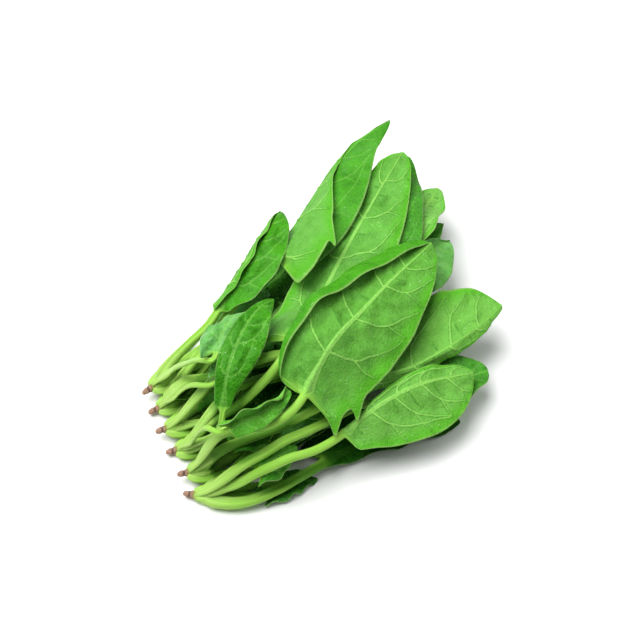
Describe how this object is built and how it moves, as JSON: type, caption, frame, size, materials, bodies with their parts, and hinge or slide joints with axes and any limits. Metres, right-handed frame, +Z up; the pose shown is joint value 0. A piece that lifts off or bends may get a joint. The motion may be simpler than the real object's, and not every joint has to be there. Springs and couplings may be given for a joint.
{
  "type": "spinach bunch",
  "caption": "Bunch of leafy green plants lying in a fan: long fleshy stalks splay from pale crowns with short cut taproots to broad, folded, overlapping leaf blades.",
  "frame": {"origin": "middle of the bunch's outline as seen from above, at the level of the surface it lies on", "axes": "+X along the bunch from the crowns to the leaf tips, +Y across the fan towards the plant that lies furthest back, +Z up"},
  "size_m": [0.2522, 0.1686, 0.0841],
  "materials": {
    "leaf": "satin",
    "root": "matte"
  },
  "bodies": {
    "root": {"plant_1": "leaf", "plant_2": "leaf", "plant_3": "leaf", "plant_4": "leaf", "plant_5": "leaf", "plant_6": "leaf", "root_1": "root", "root_2": "root", "root_3": "root", "root_4": "root", "root_5": "root", "root_6": "root"}
  },
  "joints": []
}
